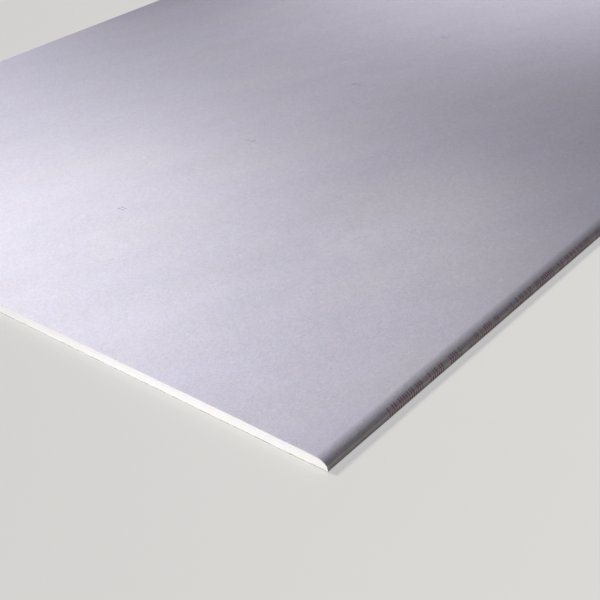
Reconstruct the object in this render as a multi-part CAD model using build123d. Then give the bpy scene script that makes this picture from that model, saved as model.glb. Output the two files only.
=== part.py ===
from build123d import *
import os

# A plasterboard sheet lying on its back, face up, with half-round tapered long edges and square-cut ends.
# +X runs along the sheet, +Y across it and +Z up through its thickness.
# The origin is the middle of the back, on the surface that the sheet lies on. Sizes are in millimetres.

# The sheet as it is sold
sheet_length = 2000.0
sheet_width = 1250.0
sheet_thickness = 12.5

# The two paper liners
face_paper_thickness = 0.4
back_paper_thickness = 0.35
flap_width = 20.0
back_paper_setback = 8.0

# The long edges. Widths are measured in from the edge, and the lip's height up from the back.
taper_width = 110.0
taper_depth = 0.8
rounding_width = 12.7
lip_height = 6.3
core_arris_radius = 0.2

half_width = sheet_width / 2
fold_radius = core_arris_radius + face_paper_thickness


def wrapped_section():
    """Outline of the sheet inside its face paper and flaps, without the back paper, across the width."""
    middle_top = Vector(0, sheet_thickness)
    flat_end = Vector(half_width - taper_width, sheet_thickness)
    rounding_start = Vector(half_width - rounding_width, sheet_thickness - taper_depth)
    crease = Vector(half_width, lip_height)
    lower_arris = Vector(half_width, back_paper_thickness)
    middle_bottom = Vector(0, back_paper_thickness)

    flat = Line(middle_top, flat_end)
    taper = Line(flat_end, rounding_start)
    rounding = TangentArc(rounding_start, crease, tangent=taper % 1)
    lip = Line(crease, lower_arris)
    underside = Line(lower_arris, middle_bottom)
    centre_line = Line(middle_bottom, middle_top)
    half = make_face([flat, taper, rounding, lip, underside, centre_line])

    arris = half.vertices().sort_by_distance(lower_arris)[0]
    half = fillet(arris, fold_radius)
    return half + mirror(half, Plane.YZ)


def strip(width, bottom, thickness):
    """A flat layer of the section, centred across the width, with its lower side at a given height."""
    return Pos(0, bottom) * Rectangle(width, thickness, align=(Align.CENTER, Align.MIN))


def along_the_sheet(section):
    """A section, drawn across the width and up, run through the whole length of the sheet."""
    return extrude(Plane.YZ * section, amount=sheet_length / 2, both=True)


# The core fills the face paper, and between the flaps it comes down to the back paper.
wrapped = wrapped_section()
inside_the_wrap = offset(wrapped, amount=-face_paper_thickness, kind=Kind.INTERSECTION)
between_the_flaps = strip(sheet_width - 2 * flap_width, back_paper_thickness, face_paper_thickness)
core_section = inside_the_wrap + between_the_flaps

# The face paper is what is left of the outline: the face, the two long edges and the flaps.
face_paper_section = wrapped - core_section

# The back paper overlaps the flaps and stops short of the long edges.
back_paper_section = strip(sheet_width - 2 * back_paper_setback, 0, back_paper_thickness)

sections = {
    "gypsum_core": core_section,
    "face_paper": face_paper_section,
    "back_paper": back_paper_section,
}

os.makedirs("parts", exist_ok=True)
for name, section in sections.items():
    piece = along_the_sheet(section)
    piece.label = name
    export_step(piece, f"parts/{name}.step")
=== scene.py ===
import math
import bpy
from mathutils import Matrix, Vector


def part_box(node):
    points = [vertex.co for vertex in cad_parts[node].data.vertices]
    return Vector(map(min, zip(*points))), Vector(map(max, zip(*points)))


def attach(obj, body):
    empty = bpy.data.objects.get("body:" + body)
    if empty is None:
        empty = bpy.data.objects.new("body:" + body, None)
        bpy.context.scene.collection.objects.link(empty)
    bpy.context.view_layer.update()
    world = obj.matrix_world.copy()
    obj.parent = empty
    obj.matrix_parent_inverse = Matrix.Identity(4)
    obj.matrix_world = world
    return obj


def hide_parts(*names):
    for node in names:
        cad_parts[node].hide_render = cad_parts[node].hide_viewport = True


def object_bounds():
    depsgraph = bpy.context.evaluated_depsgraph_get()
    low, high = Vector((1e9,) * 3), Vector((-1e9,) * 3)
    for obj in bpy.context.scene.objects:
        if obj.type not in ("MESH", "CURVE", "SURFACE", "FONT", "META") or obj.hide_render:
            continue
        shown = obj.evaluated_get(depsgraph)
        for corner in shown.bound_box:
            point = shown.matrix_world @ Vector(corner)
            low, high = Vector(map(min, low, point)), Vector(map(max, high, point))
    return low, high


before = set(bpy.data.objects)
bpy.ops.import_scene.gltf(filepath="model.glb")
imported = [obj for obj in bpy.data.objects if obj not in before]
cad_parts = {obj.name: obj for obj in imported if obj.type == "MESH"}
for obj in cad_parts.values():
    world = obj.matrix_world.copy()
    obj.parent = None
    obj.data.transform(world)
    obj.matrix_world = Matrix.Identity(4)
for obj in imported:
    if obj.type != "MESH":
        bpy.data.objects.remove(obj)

# A sheet of plasterboard, face up on a pale floor: a gypsum slab, its grey face paper and its back paper.
# Everything is in metres. +X runs along the sheet, +Y across it and +Z up.

cadLow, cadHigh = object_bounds()
faceLow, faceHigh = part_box("face_paper")
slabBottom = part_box("gypsum_core")[0].z
backLow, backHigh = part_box("back_paper")
tiny = 0.00001      # lengths this close count as the same
weldGap = 0.000002  # points this close are welded
print("frame loaded")


# Small helpers

def screen(red, green, blue):  # a colour as it looks on screen, 0 to 255, made linear
    steps = [part / 255 for part in (red, green, blue)]
    return tuple(s / 12.92 if s <= 0.04045 else ((s + 0.055) / 1.055) ** 2.4 for s in steps) + (1.0,)


def deselectAll():
    if bpy.context.mode != "OBJECT":
        bpy.ops.object.mode_set(mode="OBJECT")
    bpy.ops.object.select_all(action="DESELECT")


def workOn(piece):
    deselectAll()
    piece.select_set(True)
    bpy.context.view_layer.objects.active = piece


def settle(piece):  # the object goes to the origin and keeps its place in its mesh
    workOn(piece)
    bpy.ops.object.transform_apply(location=True, rotation=True, scale=True)


def pickEdges(piece, test):  # leaves the piece in edit mode with the edges selected whose ends pass the test
    bpy.ops.object.mode_set(mode="EDIT")
    bpy.ops.mesh.select_mode(type="EDGE")
    bpy.ops.mesh.select_all(action="DESELECT")
    bpy.ops.object.mode_set(mode="OBJECT")
    points = piece.data.vertices
    for edge in piece.data.edges:
        edge.select = test(points[edge.vertices[0]].co, points[edge.vertices[1]].co)
    bpy.ops.object.mode_set(mode="EDIT")


def extrudeEdges(x, y, z):
    bpy.ops.mesh.extrude_edges_move(TRANSFORM_OT_translate={"value": (x, y, z)})


def weigh(piece, name, weight):  # a vertex group whose weights come from a rule on each point's place
    group = piece.vertex_groups.new(name=name)
    for vert in piece.data.vertices:
        amount = weight(vert.co)
        if amount > 0:
            group.add([vert.index], min(amount, 1.0), "REPLACE")


def applyModifier(piece, kind, **settings):
    workOn(piece)
    modifier = piece.modifiers.new(kind.lower(), kind)
    for name, value in settings.items():
        setattr(modifier, name, value)
    bpy.ops.object.modifier_apply(modifier=modifier.name)


def roughen(piece, group, direction, depth, grain, basis="BLENDER_ORIGINAL", contrast=1.0):
    # Points in the group move by up to depth, unevenly, with lumps about as large as grain.
    texture = bpy.data.textures.new("lumps", "CLOUDS")
    texture.noise_scale = grain
    texture.noise_basis = basis
    texture.contrast = contrast
    applyModifier(piece, "DISPLACE", texture=texture, vertex_group=group, direction=direction,
                  texture_coords="LOCAL", mid_level=0.0, strength=depth)


def mendNormals(piece):
    workOn(piece)
    bpy.ops.object.mode_set(mode="EDIT")
    bpy.ops.mesh.select_all(action="SELECT")
    bpy.ops.mesh.remove_doubles(threshold=weldGap)
    bpy.ops.mesh.normals_make_consistent(inside=False)
    bpy.ops.object.mode_set(mode="OBJECT")


def smoothByAngle(piece, degrees):
    workOn(piece)
    bpy.ops.object.shade_smooth_by_angle(angle=math.radians(degrees), keep_sharp_edges=False)


# Node helpers

def feed(tree, socket, value):  # a value is a number, a colour or another node's output
    if isinstance(value, bpy.types.NodeSocket):
        tree.links.new(value, socket)
    else:
        socket.default_value = value


def newNode(tree, kind, inputs=None, **settings):
    node = tree.nodes.new(kind)
    for name, value in settings.items():
        setattr(node, name, value)
    for name, value in (inputs or {}).items():
        feed(tree, node.inputs[name], value)
    return node


def calc(tree, operation, first, second=0.0, clamp=False):
    node = newNode(tree, "ShaderNodeMath", {0: first, 1: second}, operation=operation, use_clamp=clamp)
    return node.outputs[0]


def times(tree, *values):
    total = values[0]
    for value in values[1:]:
        total = calc(tree, "MULTIPLY", total, value)
    return total


def ramp(tree, value, low, high, first=0.0, last=1.0):  # changes smoothly from first at low to last at high
    return newNode(tree, "ShaderNodeMapRange", {"Value": value, "From Min": low, "From Max": high,
                   "To Min": first, "To Max": last}, interpolation_type="SMOOTHSTEP").outputs["Result"]


def distanceFrom(tree, value, middle):
    return calc(tree, "ABSOLUTE", calc(tree, "SUBTRACT", value, middle))


def within(tree, distance, half, blur):  # 1 inside, 0 outside
    return ramp(tree, distance, half + blur, half - blur)


def repeated(tree, value, start, pitch):  # distance to the nearest of the places start, start + pitch, ...
    turns = calc(tree, "DIVIDE", calc(tree, "SUBTRACT", value, start), pitch)
    part = calc(tree, "FRACT", calc(tree, "ADD", turns, 0.5))
    return times(tree, distanceFrom(tree, part, 0.5), pitch)


def blendColours(tree, factor, first, second, how="MIX"):
    node = newNode(tree, "ShaderNodeMix", data_type="RGBA", blend_type=how)
    sockets = {socket.identifier: socket for socket in node.inputs}
    feed(tree, sockets["Factor_Float"], factor)
    feed(tree, sockets["A_Color"], first)
    feed(tree, sockets["B_Color"], second)
    return next(socket for socket in node.outputs if socket.identifier == "Result_Color")


def turned(tree, place, move=(0, 0, 0), degrees=0.0):  # the place moved, and turned about the upright
    return newNode(tree, "ShaderNodeMapping", {"Vector": place, "Location": move,
                   "Rotation": (0, 0, math.radians(degrees))}).outputs[0]


def startGroup(name, inputs, outputs):
    group = bpy.data.node_groups.new(name, "ShaderNodeTree")
    for label, value in inputs.items():
        kind = "NodeSocketVector" if value is None else "NodeSocketFloat"
        socket = group.interface.new_socket(name=label, in_out="INPUT", socket_type=kind)
        if value is not None:
            socket.default_value = value
    for label in outputs:
        group.interface.new_socket(name=label, in_out="OUTPUT", socket_type="NodeSocketFloat")
    return group, newNode(group, "NodeGroupInput").outputs


def useGroup(tree, group, **inputs):
    return newNode(tree, "ShaderNodeGroup", inputs, node_tree=group).outputs


def sized(tree, place, size, stretch=1.0):  # the place counted in steps of one size, longer along the sheet
    along = times(tree, size, stretch)
    steps = newNode(tree, "ShaderNodeCombineXYZ", {0: along, 1: size, 2: size}).outputs[0]
    return newNode(tree, "ShaderNodeVectorMath", {0: place, 1: steps}, operation="DIVIDE").outputs[0]


# Effects that several materials share

def makeFibreGroup():  # the felt of paper or the grain of plaster: a fine tone, from -1 to 1, and a height
    group, given = startGroup("fibreEffect", {"Vector": None, "Grain": 0.001, "Stretch": 1.0},
                              ["Tone", "Height"])
    place = sized(group, given["Vector"], given["Grain"], given["Stretch"])
    fine = newNode(group, "ShaderNodeTexNoise", {"Vector": place, "Scale": 1.0, "Detail": 3.0,
                   "Roughness": 0.62})
    felt = newNode(group, "ShaderNodeTexNoise", {"Vector": place, "Scale": 0.23, "Detail": 4.0,
                   "Roughness": 0.55, "Distortion": 1.4})
    both = calc(group, "ADD", times(group, fine.outputs[0], 0.6), times(group, felt.outputs[0], 0.4))
    newNode(group, "NodeGroupOutput", {"Tone": ramp(group, both, 0.30, 0.70, -1.0, 1.0), "Height": both})
    return group


def makeCloudGroup():  # soft patches, from -1 to 1
    group, given = startGroup("cloudEffect", {"Vector": None, "Size": 0.1, "Stretch": 1.0, "Seed": 0.0},
                              ["Tone"])
    place = sized(group, given["Vector"], given["Size"], given["Stretch"])
    cloud = newNode(group, "ShaderNodeTexNoise", {"Vector": place, "W": given["Seed"], "Scale": 1.0,
                    "Detail": 2.5, "Roughness": 0.5}, noise_dimensions="4D")
    newNode(group, "NodeGroupOutput", {"Tone": ramp(group, cloud.outputs[0], 0.28, 0.72, -1.0, 1.0)})
    return group


def makeSpeckGroup():  # scattered small round flecks or pores; Share is how many of the cells have one
    group, given = startGroup("speckEffect", {"Vector": None, "Spacing": 0.01, "Radius": 0.001, "Share": 0.5},
                              ["Mask"])
    cells = newNode(group, "ShaderNodeTexVoronoi", {"Vector": sized(group, given["Vector"], given["Spacing"]),
                    "Scale": 1.0, "Randomness": 1.0})
    chance = newNode(group, "ShaderNodeSeparateColor", {0: cells.outputs["Color"]}).outputs
    picked = calc(group, "LESS_THAN", chance[0], given["Share"])
    reach = calc(group, "DIVIDE", given["Radius"], given["Spacing"])
    grown = times(group, reach, calc(group, "ADD", chance[1], 0.5))
    inside = calc(group, "SUBTRACT", 1.0, calc(group, "DIVIDE", cells.outputs["Distance"], grown), clamp=True)
    newNode(group, "NodeGroupOutput", {"Mask": times(group, picked, ramp(group, inside, 0.0, 0.6))})
    return group


fibreEffect = makeFibreGroup()
cloudEffect = makeCloudGroup()
speckEffect = makeSpeckGroup()


def startMaterial(name):
    material = bpy.data.materials.new(name)
    material.use_nodes = True
    tree = material.node_tree
    tree.nodes.clear()
    return material, tree, newNode(tree, "ShaderNodeTexCoord").outputs["Object"]


def endMaterial(tree, colour, roughness, height, bumpDepth, specular):
    bump = newNode(tree, "ShaderNodeBump", {"Height": height, "Distance": bumpDepth, "Strength": 1.0})
    shader = newNode(tree, "ShaderNodeBsdfPrincipled", {"Base Color": colour, "Roughness": roughness,
                     "Normal": bump.outputs[0], "Specular IOR Level": specular})
    newNode(tree, "ShaderNodeOutputMaterial", {"Surface": shader.outputs[0]})


# Camera, at the photograph's viewing angle

cameraSet = {
    "place": (-1.456, -1.090, 0.560),
    "yaw": 45.8,    # from +X towards +Y
    "pitch": 31.1,  # below the horizon
    "roll": -8.1,
    "lens": 62.16,
    "sensor": 36.0,
    "nearest": 0.02,
    "farthest": 200.0,
}


def addCamera():
    deselectAll()
    bpy.ops.object.camera_add()
    camera = bpy.context.active_object
    camera.name = "sheetCamera"
    camera.data.lens = cameraSet["lens"]
    camera.data.sensor_width = cameraSet["sensor"]
    camera.data.clip_start = cameraSet["nearest"]
    camera.data.clip_end = cameraSet["farthest"]
    turn = Matrix.Rotation(math.radians(cameraSet["yaw"] - 90), 4, "Z")
    tilt = Matrix.Rotation(math.radians(90 - cameraSet["pitch"]), 4, "X")
    roll = Matrix.Rotation(math.radians(cameraSet["roll"]), 4, "Z")
    camera.matrix_world = Matrix.Translation(cameraSet["place"]) @ turn @ tilt @ roll
    bpy.context.scene.camera = camera


addCamera()
print("camera set")


# Floor

floorSet = {
    "halfSize": 40.0,
    "colour": (219, 218, 216),
    "worn": (227, 226, 225),
    "wornSize": 0.6,
    "wornShare": 0.3,
    "paleness": 0.50,   # how much of what the camera sees of the floor is plain white
    "fadeStart": 0.9,   # metres beyond the sheet where the floor starts to turn white
    "fadeEnd": 3.2,
}


def seenDirectly(tree):  # 1 for what the camera sees, straight or in a reflection
    rays = newNode(tree, "ShaderNodeLightPath").outputs
    return calc(tree, "MAXIMUM", rays["Is Camera Ray"], rays["Is Glossy Ray"])


def makeFloorMaterial():
    material, tree, place = startMaterial("paleFloor")
    x, y = newNode(tree, "ShaderNodeSeparateXYZ", {0: place}).outputs[:2]
    cloud = useGroup(tree, cloudEffect, Vector=place, Size=floorSet["wornSize"])["Tone"]
    worn = ramp(tree, cloud, -1.0, 1.0, 0.0, floorSet["wornShare"])
    colour = blendColours(tree, worn, screen(*floorSet["colour"]), screen(*floorSet["worn"]))
    shader = newNode(tree, "ShaderNodeBsdfDiffuse", {"Color": colour, "Roughness": 0.6})
    beyondEnd = calc(tree, "SUBTRACT", calc(tree, "ABSOLUTE", x), cadHigh.x)
    beyondSide = calc(tree, "SUBTRACT", calc(tree, "ABSOLUTE", y), cadHigh.y)
    away = calc(tree, "MAXIMUM", beyondEnd, beyondSide)
    pale = ramp(tree, away, floorSet["fadeStart"], floorSet["fadeEnd"], floorSet["paleness"], 1.0)
    white = newNode(tree, "ShaderNodeEmission", {"Color": (1, 1, 1, 1), "Strength": 1.0})
    share = times(tree, pale, seenDirectly(tree))
    both = newNode(tree, "ShaderNodeMixShader", {0: share, 1: shader.outputs[0], 2: white.outputs[0]})
    newNode(tree, "ShaderNodeOutputMaterial", {"Surface": both.outputs[0]})
    return material


def addFloor():
    deselectAll()
    bpy.ops.mesh.primitive_plane_add(size=2 * floorSet["halfSize"], location=(0, 0, 0))
    floor = bpy.context.active_object
    floor.name = "paleFloor"
    floor.data.materials.append(makeFloorMaterial())
    return floor


paleFloor = addFloor()
print("floor laid")


# Lights. The key stands beyond the far long edge, so the near rounding and the lip below it fall into shade.
# The middle and corner lamps brighten the face towards the near cut end, and the patch lamp makes one pale
# warm patch on it. The front lamp lights the near cut end, the side lamp the near lip, the end lamp the far
# cut end, and the far lamp the far half of the face. They all leave out the floor, which has its own lamp.

lightSet = {
    "key": {"place": (-0.50, 3.00, 2.74), "watts": 1100.0, "size": 0.40, "colour": (255, 255, 255),
            "aim": (-2.39, 0.62, 0.0), "cone": 81.6},
    "middle": {"place": (-0.86, 0.0, 0.42), "watts": 3.8, "size": 0.09, "colour": (251, 255, 234)},
    "corner": {"place": (-1.0, -0.335, 0.24), "watts": 0.55, "size": 0.05, "colour": (255, 255, 255)},
    "front": {"place": (-1.90, -0.46, 0.18), "watts": 26.4, "size": 0.06, "colour": (255, 254, 252)},
    "side": {"place": (-0.95, -1.60, 0.11), "watts": 3.2, "size": 0.12, "colour": (255, 250, 236)},
    "far": {"place": (0.61, -0.02, 1.85), "watts": 140.0, "size": 0.20, "colour": (255, 254, 250),
            "aim": (0.61, -0.02, 0.0), "cone": 60.5},
    "end": {"place": (2.40, 0.0, 0.03), "watts": 40.0, "size": 0.04, "colour": (255, 254, 252)},
    "patch": {"place": (0.30, 0.0, 0.456), "watts": 11.8, "size": 0.05, "colour": (255, 247, 216),
              "aim": (-0.81, -0.56, 0.0), "cone": 14.5},
}
floorLampSet = {"source": (-0.15, 1.0, 0.75), "strength": 3.5, "spread": 12, "colour": (255, 250, 240)}
skySet = {"colour": (250, 250, 252), "strength": 0.035}


def pointAt(lamp, direction):
    lamp.rotation_euler = Vector(direction).to_track_quat("-Z", "Y").to_euler()


def addLamp(name, place, watts, size, colour, aim=None, cone=None):  # with an aim it is a soft-edged cone
    deselectAll()
    bpy.ops.object.light_add(type="SPOT" if aim else "POINT", location=place)
    lamp = bpy.context.active_object
    lamp.name = name + "Lamp"
    lamp.data.energy = watts
    lamp.data.shadow_soft_size = size
    lamp.data.color = screen(*colour)[:3]
    if aim:
        pointAt(lamp, Vector(aim) - Vector(place))
        lamp.data.spot_size = math.radians(cone)
        lamp.data.spot_blend = 1.0
    lamp.visible_camera = False
    return lamp


def addFloorLamp(source, strength, spread, colour):  # even light, with one shadow, for the floor alone
    deselectAll()
    bpy.ops.object.light_add(type="SUN", location=source)
    lamp = bpy.context.active_object
    lamp.name = "floorLamp"
    lamp.data.energy = strength
    lamp.data.angle = math.radians(spread)
    lamp.data.color = screen(*colour)[:3]
    pointAt(lamp, -Vector(source))
    return lamp


def lampGroup(name, floor, state):  # what lamps light: with INCLUDE the floor alone, with EXCLUDE all else
    group = bpy.data.collections.new(name)
    group.objects.link(floor)
    group.collection_objects[0].light_linking.link_state = state
    return group


def addSky():
    world = bpy.data.worlds.new("studioSky")
    bpy.context.scene.world = world
    world.use_nodes = True
    tree = world.node_tree
    tree.nodes.clear()
    soft = newNode(tree, "ShaderNodeBackground", {"Color": screen(*skySet["colour"]),
                   "Strength": skySet["strength"]}).outputs[0]
    white = newNode(tree, "ShaderNodeBackground", {"Color": (1, 1, 1, 1), "Strength": 1.0}).outputs[0]
    both = newNode(tree, "ShaderNodeMixShader", {0: seenDirectly(tree), 1: soft, 2: white}).outputs[0]
    newNode(tree, "ShaderNodeOutputWorld", {"Surface": both})


addSky()
floorAlone = lampGroup("floorAlone", paleFloor, "INCLUDE")
notFloor = lampGroup("notFloor", paleFloor, "EXCLUDE")
for lampName, lampValues in lightSet.items():
    addLamp(lampName, **lampValues).light_linking.receiver_collection = notFloor
addFloorLamp(**floorLampSet).light_linking.receiver_collection = floorAlone
print("lights set")


# The long edge's section, which the face paper and the slab share, and the papers' cut ends

edgeSet = {
    "taperWidth": 0.110,    # from the long edge to where the face starts to sink
    "taperDepth": 0.0008,
    "roundingWidth": 0.0127,
    "lipHeight": 0.0063,    # the crease's height above the floor
    "foldRadius": 0.0006,
    "flapWidth": 0.020,
    "paper": 0.0004,
    "seating": 0.00008,     # how far the slab bites into the paper that covers it
    "cutMargin": 0.00004,   # how far the papers' straight cut stays inside the sheet's length
    "wideStep": 0.020,      # at the cut ends, the grid's steps wider than this get more points
    "frayContrast": 1.6,
}
halfLength, halfWidth = cadHigh.x, cadHigh.y
cutAt = halfLength - edgeSet["cutMargin"]
faceTop, flapBottom = faceHigh.z, faceLow.z
flatEnd = halfWidth - edgeSet["taperWidth"]
roundStart = halfWidth - edgeSet["roundingWidth"]
roundTop = faceTop - edgeSet["taperDepth"]
taperAngle = math.atan2(edgeSet["taperDepth"], roundStart - flatEnd)


def roundingArc():  # centre, radius and sweep of the arc that goes on from the taper down to the crease
    across, down = edgeSet["roundingWidth"], roundTop - edgeSet["lipHeight"]
    inward = (-math.sin(taperAngle), -math.cos(taperAngle))
    radius = (across ** 2 + down ** 2) / (2 * (across * inward[0] - down * inward[1]))
    centre = (roundStart + radius * inward[0], roundTop + radius * inward[1])
    sweep = 2 * math.asin(math.hypot(across, down) / (2 * radius))
    return centre, radius, sweep


arcCentre, arcRadius, arcSweep = roundingArc()


def splitEnds(piece, cuts):  # more points along the papers' cut ends, so that they can be uneven
    wide = edgeSet["wideStep"]
    pickEdges(piece, lambda a, b: min(abs(a.x), abs(b.x)) > cutAt - tiny and abs(a.y - b.y) > wide)
    bpy.ops.mesh.subdivide(number_cuts=cuts)
    bpy.ops.object.mode_set(mode="OBJECT")


def frayEnds(piece, depth, grain):  # the cut ends wander inwards by up to depth
    contrast = edgeSet["frayContrast"]
    weigh(piece, "nearCut", lambda p: p.x < tiny - cutAt)
    weigh(piece, "farCut", lambda p: p.x > cutAt - tiny)
    roughen(piece, "nearCut", "X", depth, grain, contrast=contrast)
    roughen(piece, "farCut", "X", -depth, grain, contrast=contrast)


# Paper materials

paperLook = {
    "face": (191, 187, 205),
    "faceWarm": (196, 188, 202),
    "faceCool": (188, 188, 209),
    "smear": (199, 196, 196),
    "fleck": (96, 90, 98),
    "paleFleck": (222, 220, 226),
    "chip": (120, 96, 78),
    "back": (170, 160, 146),
    "backDark": (146, 136, 122),
    "darkFibre": (92, 84, 74),
    "paleFibre": (206, 200, 188),
    "cutEdge": (224, 217, 200),
    "cutEdgeDark": (202, 192, 170),
    "ink": (146, 88, 104),
    # the lips' browner tint: painted warm light, with some dust
    "edgeDustAndWarmLight": (186, 179, 184),
    "faintInk": (116, 118, 160),
}

toneSet = {
    "grain": 0.0013,        # size of the felt
    "slant": 27,            # degrees between the streaks and the sheet's length
    "felt": 0.125,          # how much each of these changes the paper's tone
    "patches": 0.012,
    "streaks": 0.018,
    "warm": 0.55,           # the most of each of these colours that is mixed in
    "cool": 0.45,
    "smear": 0.13,
}

# How strongly each kind of mark covers the face paper, and its colour, in the order in which they lie
faceMarks = {
    # painted warm light on the lips, with some dust
    "lipDustAndWarmLight": (0.7, "edgeDustAndWarmLight"),
    "flecks": (0.5, "fleck"),
    "paleFlecks": (0.35, "paleFleck"),
    "scuff": (0.9, "paleFleck"),
    "smear": (0.18, "paleFleck"),
    "spots": (0.75, "fleck"),
    "chips": (0.8, "chip"),
    "dashes": (0.8, "faintInk"),
    "hatching": (0.9, "ink"),
}

markSet = {
    "dashStart": -0.774,    # plain pairs of dashes in a line down the face
    "dashPitch": 0.234,
    "dashLine": -0.0955,
    "dashApart": 0.0022,
    "dashLength": 0.0075,
    "dashHalf": 0.0007,
    "dashBlur": 0.0005,
    "hatchMargin": 0.083,   # plain hatching along one long edge, this far in from both ends
    "hatchPitch": 0.0032,
    "hatchHalf": 0.00058,
    "hatchLow": 0.0013,
    "hatchMiddle": 0.0060,
    "hatchHigh": 0.0094,
    "hatchBlur": 0.0002,
    "hatchReach": 0.010,    # how far in from the long edge the strokes may come
    "shortShare": 0.3,      # how many of the strokes are short ones
    "gapPitches": ((0.061, 0.0265), (0.097, 0.0440)),   # pitch of the gaps, and half a run between two
    "scuffPlace": (-0.689, -0.5930),
    "scuffHalf": (0.0048, 0.0014),
    "smearPlace": (-0.700, -0.405),
    "smearHalf": (0.045, 0.050),
    "lipTintBand": (0.004, 0.001),     # how far in from the long edge the lip's browner tint starts, and is full; the tint is painted warm light, with some dust
    "lipTintFade": 0.0012,     # how far above the crease it ends
    "chipBand": (0.003, 0.0015),    # how far in from the cut ends the chips start, and are full
    "spots": ((-0.9931, -0.6081, 0.0006), (-0.8859, -0.6013, 0.0006), (-0.9993, -0.193, 0.0008),
              (-0.9990, -0.212, 0.0006), (-0.9990, -0.354, 0.0008)),    # places and radii of dark specks
}


def edgeHatching(tree, place, x, y, z):  # runs of upright strokes of two heights, on the lip and its crease
    m = markSet
    blur = m["hatchBlur"]
    start = m["hatchMargin"] - halfLength
    turns = calc(tree, "DIVIDE", calc(tree, "SUBTRACT", x, start), m["hatchPitch"])
    index = calc(tree, "FLOOR", turns)
    offset = times(tree, distanceFrom(tree, calc(tree, "FRACT", turns), 0.5), m["hatchPitch"])
    chance = newNode(tree, "ShaderNodeTexWhiteNoise", {"W": index}, noise_dimensions="1D").outputs["Value"]
    tall = calc(tree, "GREATER_THAN", chance, m["shortShare"])
    top = calc(tree, "ADD", times(tree, tall, m["hatchHigh"] - m["hatchMiddle"]), m["hatchMiddle"])
    strokes = times(tree, within(tree, offset, m["hatchHalf"], blur),
                    ramp(tree, z, m["hatchLow"] - blur, m["hatchLow"] + blur),
                    ramp(tree, calc(tree, "SUBTRACT", z, top), blur, -blur))
    for pitch, half in m["gapPitches"]:
        count = pitch / m["hatchPitch"]
        run = within(tree, repeated(tree, index, 0.4 * count, count), half / m["hatchPitch"], 0.01)
        strokes = times(tree, strokes, run)
    along = within(tree, calc(tree, "ABSOLUTE", x), halfLength - m["hatchMargin"], blur)
    across = ramp(tree, y, m["hatchReach"] - halfWidth, 0.9 * m["hatchReach"] - halfWidth)
    worn = useGroup(tree, cloudEffect, Vector=place, Size=0.003, Seed=3.0)["Tone"]
    return times(tree, strokes, along, across, ramp(tree, worn, -1.0, 0.2, 0.55, 1.0))


def faceDashes(tree, place, x, y, z):  # on the face, and not on the flaps under it
    m = markSet
    across = distanceFrom(tree, repeated(tree, x, m["dashStart"], m["dashPitch"]), m["dashApart"])
    dashes = times(tree, within(tree, across, m["dashHalf"], m["dashBlur"]),
                   within(tree, distanceFrom(tree, y, m["dashLine"]), m["dashLength"], 2 * m["dashBlur"]),
                   ramp(tree, z, faceTop - 0.0003, faceTop - 0.0002))
    worn = useGroup(tree, cloudEffect, Vector=place, Size=0.003, Seed=5.0)["Tone"]
    return times(tree, dashes, ramp(tree, worn, -0.8, 0.4, 0.2, 1.0))


def oval(tree, x, y, place, half):  # 1 in the middle of an oval, 0 at its rim
    sides = [calc(tree, "DIVIDE", calc(tree, "SUBTRACT", part, middle), reach)
             for part, middle, reach in zip((x, y), place, half)]
    far = calc(tree, "ADD", times(tree, sides[0], sides[0]), times(tree, sides[1], sides[1]))
    return ramp(tree, far, 1.0, 0.1)


def faceScuff(tree, place, x, y):  # one small pale rub near the long edge
    streaks = useGroup(tree, fibreEffect, Vector=place, Grain=0.0006, Stretch=4.0)["Tone"]
    return times(tree, oval(tree, x, y, markSet["scuffPlace"], markSet["scuffHalf"]),
                 ramp(tree, streaks, -0.3, 0.6, 0.2, 1.0))


def faceSmear(tree, place, x, y):  # a soft dusty smear
    dust = useGroup(tree, cloudEffect, Vector=turned(tree, place, degrees=toneSet["slant"]), Size=0.013,
                    Stretch=1.6, Seed=15.0)["Tone"]
    return times(tree, oval(tree, x, y, markSet["smearPlace"], markSet["smearHalf"]),
                 ramp(tree, dust, -0.7, 0.5, 0.0, 1.0))


def lipDustAndWarmLight(tree, place, y, z):  # the lips are a little browner: painted warm light from the surroundings, with some dust where they are handled and rubbed
    start, full = markSet["lipTintBand"]
    crease = edgeSet["lipHeight"]
    upright = times(tree, ramp(tree, calc(tree, "ABSOLUTE", y), halfWidth - start, halfWidth - full),
                    ramp(tree, z, crease + markSet["lipTintFade"], crease))
    patch = useGroup(tree, cloudEffect, Vector=place, Size=0.012, Stretch=4.0, Seed=13.0)["Tone"]
    return times(tree, upright, ramp(tree, patch, -1.0, 1.0, 0.6, 1.0))


def singleSpots(tree, x, y):
    spots = 0.0
    for spotX, spotY, radius in markSet["spots"]:
        far = calc(tree, "MAXIMUM", distanceFrom(tree, x, spotX), distanceFrom(tree, y, spotY))
        spots = calc(tree, "MAXIMUM", spots, ramp(tree, far, radius, 0.4 * radius))
    return spots


def paperTone(tree, place):  # fine felt, patches and wide slanting streaks, as a factor near 1
    t = toneSet
    felt = useGroup(tree, fibreEffect, Vector=place, Grain=t["grain"])["Tone"]
    patches = useGroup(tree, cloudEffect, Vector=place, Size=0.035, Stretch=1.5, Seed=7.0)["Tone"]
    streaks = useGroup(tree, cloudEffect, Vector=turned(tree, place, degrees=t["slant"]), Size=0.045,
                       Stretch=3.5, Seed=9.0)["Tone"]
    shade = 1.0
    for tone, amount in ((felt, t["felt"]), (patches, t["patches"]), (streaks, t["streaks"])):
        shade = calc(tree, "ADD", times(tree, tone, amount), shade)
    return newNode(tree, "ShaderNodeCombineColor", {0: shade, 1: shade, 2: shade}).outputs[0]


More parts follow.
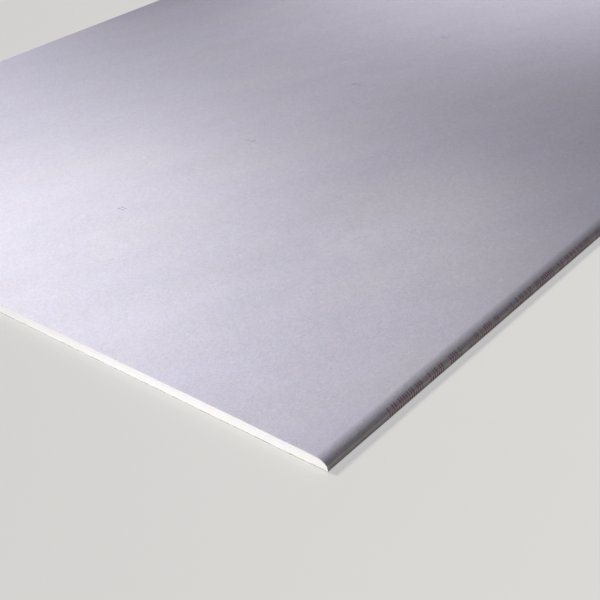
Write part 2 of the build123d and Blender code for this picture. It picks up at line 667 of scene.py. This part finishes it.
def makeFacePaperMaterial():
    t = toneSet
    look = {name: screen(*colour) for name, colour in paperLook.items()}
    material, tree, place = startMaterial("greyFacePaper")
    x, y, z = newNode(tree, "ShaderNodeSeparateXYZ", {0: place}).outputs
    warm = useGroup(tree, cloudEffect, Vector=place, Size=0.008, Stretch=1.3, Seed=1.0)["Tone"]
    cool = useGroup(tree, cloudEffect, Vector=place, Size=0.004, Stretch=1.2, Seed=4.0)["Tone"]
    smear = useGroup(tree, cloudEffect, Vector=turned(tree, place, degrees=t["slant"]), Size=0.10,
                     Stretch=2.5, Seed=11.0)["Tone"]
    flecks = useGroup(tree, speckEffect, Vector=place, Spacing=0.020, Radius=0.0006, Share=0.22)["Mask"]
    paleFlecks = useGroup(tree, speckEffect, Vector=turned(tree, place, (2.3, 1.1, 0.2)), Spacing=0.045,
                          Radius=0.0016, Share=0.35)["Mask"]
    chips = useGroup(tree, speckEffect, Vector=turned(tree, place, (0.7, 1.9, 0.1)), Spacing=0.024,
                     Radius=0.0016, Share=0.30)["Mask"]
    start, full = markSet["chipBand"]
    chips = times(tree, chips, ramp(tree, calc(tree, "ABSOLUTE", x), halfLength - start, halfLength - full))

    colour = blendColours(tree, ramp(tree, warm, -1.0, 1.0, 0.0, t["warm"]), look["face"], look["faceWarm"])
    colour = blendColours(tree, ramp(tree, cool, -1.0, 1.0, 0.0, t["cool"]), colour, look["faceCool"])
    colour = blendColours(tree, ramp(tree, smear, -0.2, 1.0, 0.0, t["smear"]), colour, look["smear"])
    colour = blendColours(tree, 1.0, colour, paperTone(tree, place), "MULTIPLY")
    masks = {
        "lipDustAndWarmLight": lipDustAndWarmLight(tree, place, y, z),
        "flecks": flecks,
        "paleFlecks": paleFlecks,
        "scuff": faceScuff(tree, place, x, y),
        "smear": faceSmear(tree, place, x, y),
        "spots": singleSpots(tree, x, y),
        "chips": chips,
        "dashes": faceDashes(tree, place, x, y, z),
        "hatching": edgeHatching(tree, place, x, y, z),
    }
    for name, (strength, tint) in faceMarks.items():
        colour = blendColours(tree, times(tree, masks[name], strength), colour, look[tint])

    fibre = useGroup(tree, fibreEffect, Vector=place, Grain=t["grain"])
    roughness = ramp(tree, fibre["Tone"], -1.0, 1.0, 0.62, 0.74)
    endMaterial(tree, colour, roughness, fibre["Height"], bumpDepth=0.00006, specular=0.08)
    return material


def makeCutPaperMaterial():
    material, tree, place = startMaterial("cutPaperEdge")
    fibre = useGroup(tree, fibreEffect, Vector=place, Grain=0.0005)
    colour = blendColours(tree, ramp(tree, fibre["Tone"], -1.0, 1.0, 0.0, 0.7), screen(*paperLook["cutEdge"]),
                          screen(*paperLook["cutEdgeDark"]))
    endMaterial(tree, colour, 0.9, fibre["Height"], bumpDepth=0.0001, specular=0.2)
    return material


def makeBackPaperMaterial():
    material, tree, place = startMaterial("brownBackPaper")
    fibre = useGroup(tree, fibreEffect, Vector=place, Grain=0.0014, Stretch=2.6)
    cloud = useGroup(tree, cloudEffect, Vector=place, Size=0.09, Stretch=2.2, Seed=6.0)["Tone"]
    dark = useGroup(tree, speckEffect, Vector=place, Spacing=0.006, Radius=0.0007, Share=0.35)["Mask"]
    pale = useGroup(tree, speckEffect, Vector=turned(tree, place, (3.1, 1.7, 0.4)), Spacing=0.009,
                    Radius=0.0009, Share=0.3)["Mask"]
    tone = calc(tree, "ADD", times(tree, fibre["Tone"], 0.30), times(tree, cloud, 0.22))
    colour = blendColours(tree, ramp(tree, tone, -0.5, 0.5), screen(*paperLook["backDark"]),
                          screen(*paperLook["back"]))
    colour = blendColours(tree, times(tree, dark, 0.5), colour, screen(*paperLook["darkFibre"]))
    colour = blendColours(tree, times(tree, pale, 0.5), colour, screen(*paperLook["paleFibre"]))
    roughness = ramp(tree, fibre["Tone"], -1.0, 1.0, 0.80, 0.92)
    endMaterial(tree, colour, roughness, fibre["Height"], bumpDepth=0.0001, specular=0.25)
    return material


greyFacePaper = makeFacePaperMaterial()
brownBackPaper = makeBackPaperMaterial()
cutPaperEdge = makeCutPaperMaterial()
print("paper materials made")


# Face paper

faceSet = {
    "alongCount": 250,      # divisions along the sheet
    "flatCount": 16,        # across half the flat face
    "taperCount": 3,
    "roundingCount": 12,
    "lipCount": 3,
    "foldCount": 4,
    "flapCount": 3,
    "endCuts": 9,           # extra points on each of the grid's wide steps at the cut ends
    "creaseWidth": 0.0003,
    "edgeWave": 0.00022,    # how far the lip and the rounding wander inwards
    "waveGrain": 0.045,
    "waveAbove": 0.005,     # how far above the crease and in under the flap they stop wandering
    "waveUnder": 0.003,
    "endFray": 0.00030,     # how far the cut ends wander inwards
    "frayGrain": 0.0045,
}


def longEdgeWeight(p):  # 1 on the lip, falling to 0 up the rounding and in under the flap
    if abs(p.y) <= roundStart:
        return 0
    if p.z > edgeSet["lipHeight"]:
        return 1 - (p.z - edgeSet["lipHeight"]) / faceSet["waveAbove"]
    return 1 - (halfWidth - abs(p.y)) / faceSet["waveUnder"]


def buildFacePaper():
    v = faceSet
    deselectAll()
    bpy.ops.mesh.primitive_grid_add(x_subdivisions=v["alongCount"], y_subdivisions=v["flatCount"], size=1,
                                    location=(0, flatEnd / 2, faceTop))
    piece = bpy.context.active_object
    piece.name = "facePaper"
    piece.data.materials.append(greyFacePaper)
    piece.data.materials.append(cutPaperEdge)
    piece.scale = (2 * cutAt, flatEnd, 1)
    settle(piece)

    # Out from the flat: taper, rounding, lip, fold and flap.
    pickEdges(piece, lambda a, b: min(a.y, b.y) > flatEnd - tiny)
    for step in range(v["taperCount"]):
        extrudeEdges(0, (roundStart - flatEnd) / v["taperCount"], -edgeSet["taperDepth"] / v["taperCount"])
    bpy.ops.mesh.spin(steps=v["roundingCount"], angle=arcSweep, center=(0, *arcCentre), axis=(1, 0, 0))
    foldTop = flapBottom + edgeSet["foldRadius"]
    for step in range(v["lipCount"]):
        extrudeEdges(0, 0, (foldTop - edgeSet["lipHeight"]) / v["lipCount"])
    bpy.ops.mesh.spin(steps=v["foldCount"], angle=math.pi / 2,
                      center=(0, halfWidth - edgeSet["foldRadius"], foldTop), axis=(1, 0, 0))
    for step in range(v["flapCount"]):
        extrudeEdges(0, (edgeSet["foldRadius"] - edgeSet["flapWidth"]) / v["flapCount"], 0)

    # The crease is a pinch in the paper, not a knife edge.
    crease = edgeSet["lipHeight"]
    pickEdges(piece, lambda a, b: max(abs(a.z - crease), abs(b.z - crease)) < tiny)
    bpy.ops.mesh.bevel(offset=v["creaseWidth"], offset_type="OFFSET", segments=2, profile=0.5)
    bpy.ops.object.mode_set(mode="OBJECT")
    applyModifier(piece, "MIRROR", use_axis=(False, True, False), merge_threshold=tiny)
    splitEnds(piece, v["endCuts"])
    mendNormals(piece)

    weigh(piece, "longEdges", longEdgeWeight)
    roughen(piece, "longEdges", "NORMAL", -v["edgeWave"], v["waveGrain"])
    frayEnds(piece, v["endFray"], v["frayGrain"])

    # The wall grows inwards, and its rim takes the second material.
    applyModifier(piece, "SOLIDIFY", thickness=edgeSet["paper"], offset=-1.0, use_even_offset=True,
                  use_rim=True, material_offset_rim=1)
    smoothByAngle(piece, 25)
    return piece


facePaper = buildFacePaper()
print("face paper built:", len(facePaper.data.polygons), "faces")


# Back paper

backSet = {
    "alongCount": 400,
    "acrossCount": 6,
    "margin": 0.004,        # width of the strip of faces along its rim
    "endCuts": 60,
    "edgeWander": 0.0012,   # how far the glued long edges wander inwards
    "wanderGrain": 0.062,
    "endFray": 0.00035,     # how far the cut ends do
    "frayGrain": 0.006,
}


def buildBackPaper():
    v = backSet
    deselectAll()
    bpy.ops.mesh.primitive_grid_add(x_subdivisions=v["alongCount"], y_subdivisions=v["acrossCount"], size=1,
                                    location=(0, 0, backHigh.z))
    piece = bpy.context.active_object
    piece.name = "backPaper"
    piece.data.materials.append(brownBackPaper)
    piece.data.materials.append(cutPaperEdge)
    piece.scale = (2 * cutAt, 2 * backHigh.y, 1)
    settle(piece)
    bpy.ops.object.mode_set(mode="EDIT")
    bpy.ops.mesh.select_all(action="SELECT")
    bpy.ops.mesh.inset(thickness=v["margin"], depth=0)
    splitEnds(piece, v["endCuts"])

    side = backHigh.y - tiny
    weigh(piece, "rightEdge", lambda p: p.y < -side)
    weigh(piece, "leftEdge", lambda p: p.y > side)
    roughen(piece, "rightEdge", "Y", v["edgeWander"], v["wanderGrain"])
    roughen(piece, "leftEdge", "Y", -v["edgeWander"], v["wanderGrain"])
    frayEnds(piece, v["endFray"], v["frayGrain"])
    applyModifier(piece, "SOLIDIFY", thickness=backHigh.z - backLow.z, offset=-1.0, use_rim=True,
                  material_offset_rim=1)
    smoothByAngle(piece, 25)
    return piece


backPaper = buildBackPaper()
print("back paper built:", len(backPaper.data.polygons), "faces")


# Gypsum slab

slabSet = {
    "columnWidth": 0.0010,  # of the fine grid on the cut ends
    "rowCount": 11,
    "roundingCount": 12,
    "foldCount": 3,
    "setBack": 0.00012,     # the plaster stands this far inside the paper's cut edge
    "step": 0.00002,        # width of the step up over each flap
    "grain": (0.00012, 0.0016, "BLENDER_ORIGINAL", 1.0),    # depth, size, noise and contrast on the cut ends
    "hollows": (0.00025, 0.018, "BLENDER_ORIGINAL", 1.0),
    "pits": (0.00035, 0.0042, "VORONOI_F1", 2.0),
}
gypsumLook = {"body": (241, 241, 246), "cream": (241, 240, 242), "pore": (213, 211, 210)}


def makeGypsumMaterial():
    material, tree, place = startMaterial("whiteGypsum")
    fibre = useGroup(tree, fibreEffect, Vector=place, Grain=0.0007)
    cloud = useGroup(tree, cloudEffect, Vector=place, Size=0.030, Seed=2.0)["Tone"]
    pores = useGroup(tree, speckEffect, Vector=place, Spacing=0.0016, Radius=0.00042, Share=0.55)["Mask"]
    colour = blendColours(tree, ramp(tree, cloud, -1.0, 1.0, 0.0, 0.8), screen(*gypsumLook["body"]),
                          screen(*gypsumLook["cream"]))
    colour = blendColours(tree, times(tree, pores, 0.5), colour, screen(*gypsumLook["pore"]))
    height = calc(tree, "SUBTRACT", times(tree, fibre["Height"], 0.5), pores)
    endMaterial(tree, colour, 0.94, height, bumpDepth=0.00012, specular=0.2)
    return material


def slabStations():  # half the slab's section: distance from the middle, bottom and top
    seat = edgeSet["seating"] - edgeSet["paper"]
    top, overFlap = faceTop + seat, flapBottom - seat
    foldStart = halfWidth - edgeSet["foldRadius"]
    foldCentre = flapBottom + edgeSet["foldRadius"]
    foldRadius = edgeSet["foldRadius"] + seat
    radius = arcRadius + seat

    def topAt(y):
        if y <= roundStart:
            return top - edgeSet["taperDepth"] * (y - flatEnd) / (roundStart - flatEnd)
        return arcCentre[1] + math.sqrt(radius ** 2 - (y - arcCentre[0]) ** 2)

    def evenly(start, end, count):
        return [start + (end - start) * i / count for i in range(1, count + 1)]

    flapEdge = halfWidth - edgeSet["flapWidth"]
    stepUp = flapEdge + slabSet["step"]
    fine = slabSet["columnWidth"]
    overBack = evenly(flatEnd, flapEdge, round((flapEdge - flatEnd) / fine))
    overWrap = [stepUp] + evenly(stepUp, roundStart, round((roundStart - stepUp) / fine))
    overWrap += evenly(roundStart, foldStart, slabSet["roundingCount"])
    rows = [(y, slabBottom, topAt(y)) for y in overBack] + [(y, overFlap, topAt(y)) for y in overWrap]
    for angle in evenly(0, math.pi / 2, slabSet["foldCount"]):
        y = foldStart + foldRadius * math.sin(angle)
        rows.append((y, foldCentre - foldRadius * math.cos(angle), topAt(y)))
    return top, rows


def buildSlab():
    v = slabSet
    top, rows = slabStations()
    near = v["setBack"] - halfLength
    deselectAll()
    bpy.ops.mesh.primitive_grid_add(x_subdivisions=v["rowCount"], size=1,
                                    y_subdivisions=round(flatEnd / v["columnWidth"]),
                                    location=(near, flatEnd / 2, (slabBottom + top) / 2),
                                    rotation=(0, math.pi / 2, 0))
    piece = bpy.context.active_object
    piece.name = "gypsumSlab"
    piece.data.materials.append(makeGypsumMaterial())
    piece.scale = (top - slabBottom, flatEnd, 1)
    settle(piece)

    # The last column of the cut end is extruded from station to station, and stretched to each one's height.
    pickEdges(piece, lambda a, b: min(a.y, b.y) > flatEnd - tiny)
    lastY, lastBottom, lastTop = flatEnd, slabBottom, top
    for y, low, high in rows:
        extrudeEdges(0, y - lastY, 0)
        stretch = (high - low) / (lastTop - lastBottom)
        bpy.ops.transform.resize(value=(1, 1, stretch), center_override=(near, y, 0))
        bpy.ops.transform.translate(value=(0, 0, low - lastBottom * stretch))
        lastY, lastBottom, lastTop = y, low, high
    bpy.ops.object.mode_set(mode="OBJECT")
    applyModifier(piece, "MIRROR", use_axis=(False, True, False), merge_threshold=weldGap)

    # The whole cut end runs through to the other end of the sheet.
    bpy.ops.object.mode_set(mode="EDIT")
    bpy.ops.mesh.select_all(action="SELECT")
    bpy.ops.mesh.extrude_region_move(TRANSFORM_OT_translate={"value": (-2 * near, 0, 0)})
    bpy.ops.object.mode_set(mode="OBJECT")
    mendNormals(piece)

    weigh(piece, "nearCut", lambda p: p.x < 0)
    weigh(piece, "farCut", lambda p: p.x > 0)
    for group, inward in (("nearCut", 1), ("farCut", -1)):
        for kind in ("grain", "hollows", "pits"):
            depth, size, basis, contrast = v[kind]
            roughen(piece, group, "X", inward * depth, size, basis, contrast)
    smoothByAngle(piece, 35)
    return piece


gypsumSlab = buildSlab()
print("gypsum slab built:", len(gypsumSlab.data.polygons), "faces")


# Each piece goes on the root body, and the CAD part that it stands in for is hidden

for piece, node, finish in ((gypsumSlab, "gypsum_core", "gypsum"), (facePaper, "face_paper", "face_liner"),
                            (backPaper, "back_paper", "back_liner")):
    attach(piece, "root")
    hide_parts(node)

deselectAll()
bpy.context.scene.view_settings.view_transform = "Standard"
bpy.context.view_layer.update()
